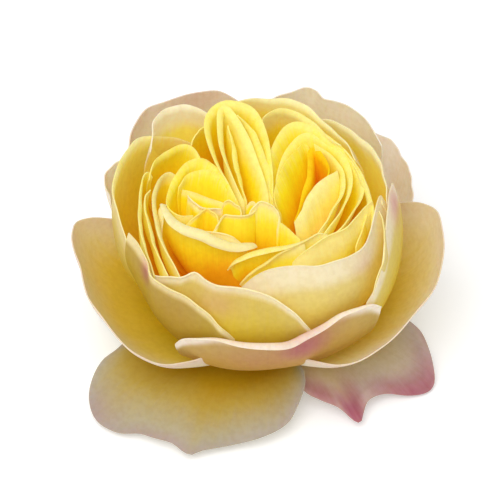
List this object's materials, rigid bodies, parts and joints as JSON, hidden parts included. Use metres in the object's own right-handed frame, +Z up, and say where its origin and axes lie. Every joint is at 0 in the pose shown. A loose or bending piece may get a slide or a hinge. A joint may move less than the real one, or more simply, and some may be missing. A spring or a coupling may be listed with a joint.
{
  "type": "cut rose bloom",
  "caption": "Cut garden-rose bloom lying face up: a quartered heart inside a deep cup of petals, over spreading and drooping guard petals, sepals and a short stem stub",
  "frame": {"origin": "centre of the stem's flat cut, on the floor", "axes": "+Z up along the bloom's axis, out of the heart; -Y towards the side of the bloom whose guard petals lie open to the viewer; +X to that viewer's right"},
  "size_m": [0.102, 0.1022, 0.0525],
  "materials": {
    "heart_petal": "soft matt petal, deep yellow",
    "cup_petal": "soft matt petal, yellow inside and cream outside",
    "spread_petal": "soft matt petal, gold at the foot and cream at the edge",
    "guard_petal": "soft matt petal, cream with a pink edge",
    "green": "satin green stem, hip and sepals"
  },
  "bodies": {
    "root": {"cup_back": "cup_petal", "cup_back_left": "cup_petal", "cup_front": "cup_petal", "cup_front_left": "cup_petal", "cup_front_right": "cup_petal", "cup_left": "cup_petal", "cup_lip": "cup_petal", "cup_right": "cup_petal", "cup_right_back": "cup_petal", "fold_back_1": "heart_petal", "fold_back_2": "heart_petal", "fold_left_1": "heart_petal", "fold_left_2": "heart_petal", "fold_left_3": "heart_petal", "fold_right_1": "heart_petal", "fold_right_2": "heart_petal", "fold_right_3": "heart_petal", "front_flank_1": "heart_petal", "front_flank_2": "heart_petal", "front_fold_1": "heart_petal", "front_fold_2": "heart_petal", "front_fold_3": "heart_petal", "guard_back": "guard_petal", "guard_front_left": "guard_petal", "guard_front_right": "guard_petal", "guard_left": "guard_petal", "guard_right": "guard_petal", "heart_front": "heart_petal", "heart_left": "heart_petal", "hip": "green", "lining_back": "cup_petal", "lining_back_left": "cup_petal", "lining_left_1": "cup_petal", "lining_left_2": "cup_petal", "lining_left_3": "cup_petal", "lining_right_1": "cup_petal", "lining_right_2": "cup_petal", "page_back_1": "heart_petal", "page_back_2": "heart_petal", "page_left_1": "heart_petal", "page_right_1": "heart_petal", "page_right_2": "heart_petal", "page_right_3": "heart_petal", "sepal_1": "green", "sepal_2": "green", "sepal_3": "green", "sepal_4": "green", "sepal_5": "green", "spread_back_left": "spread_petal", "spread_back_right": "spread_petal", "spread_left": "spread_petal", "spread_left_back": "spread_petal", "spread_right": "spread_petal", "spread_right_back": "spread_petal", "stem": "green"}
  },
  "joints": []
}
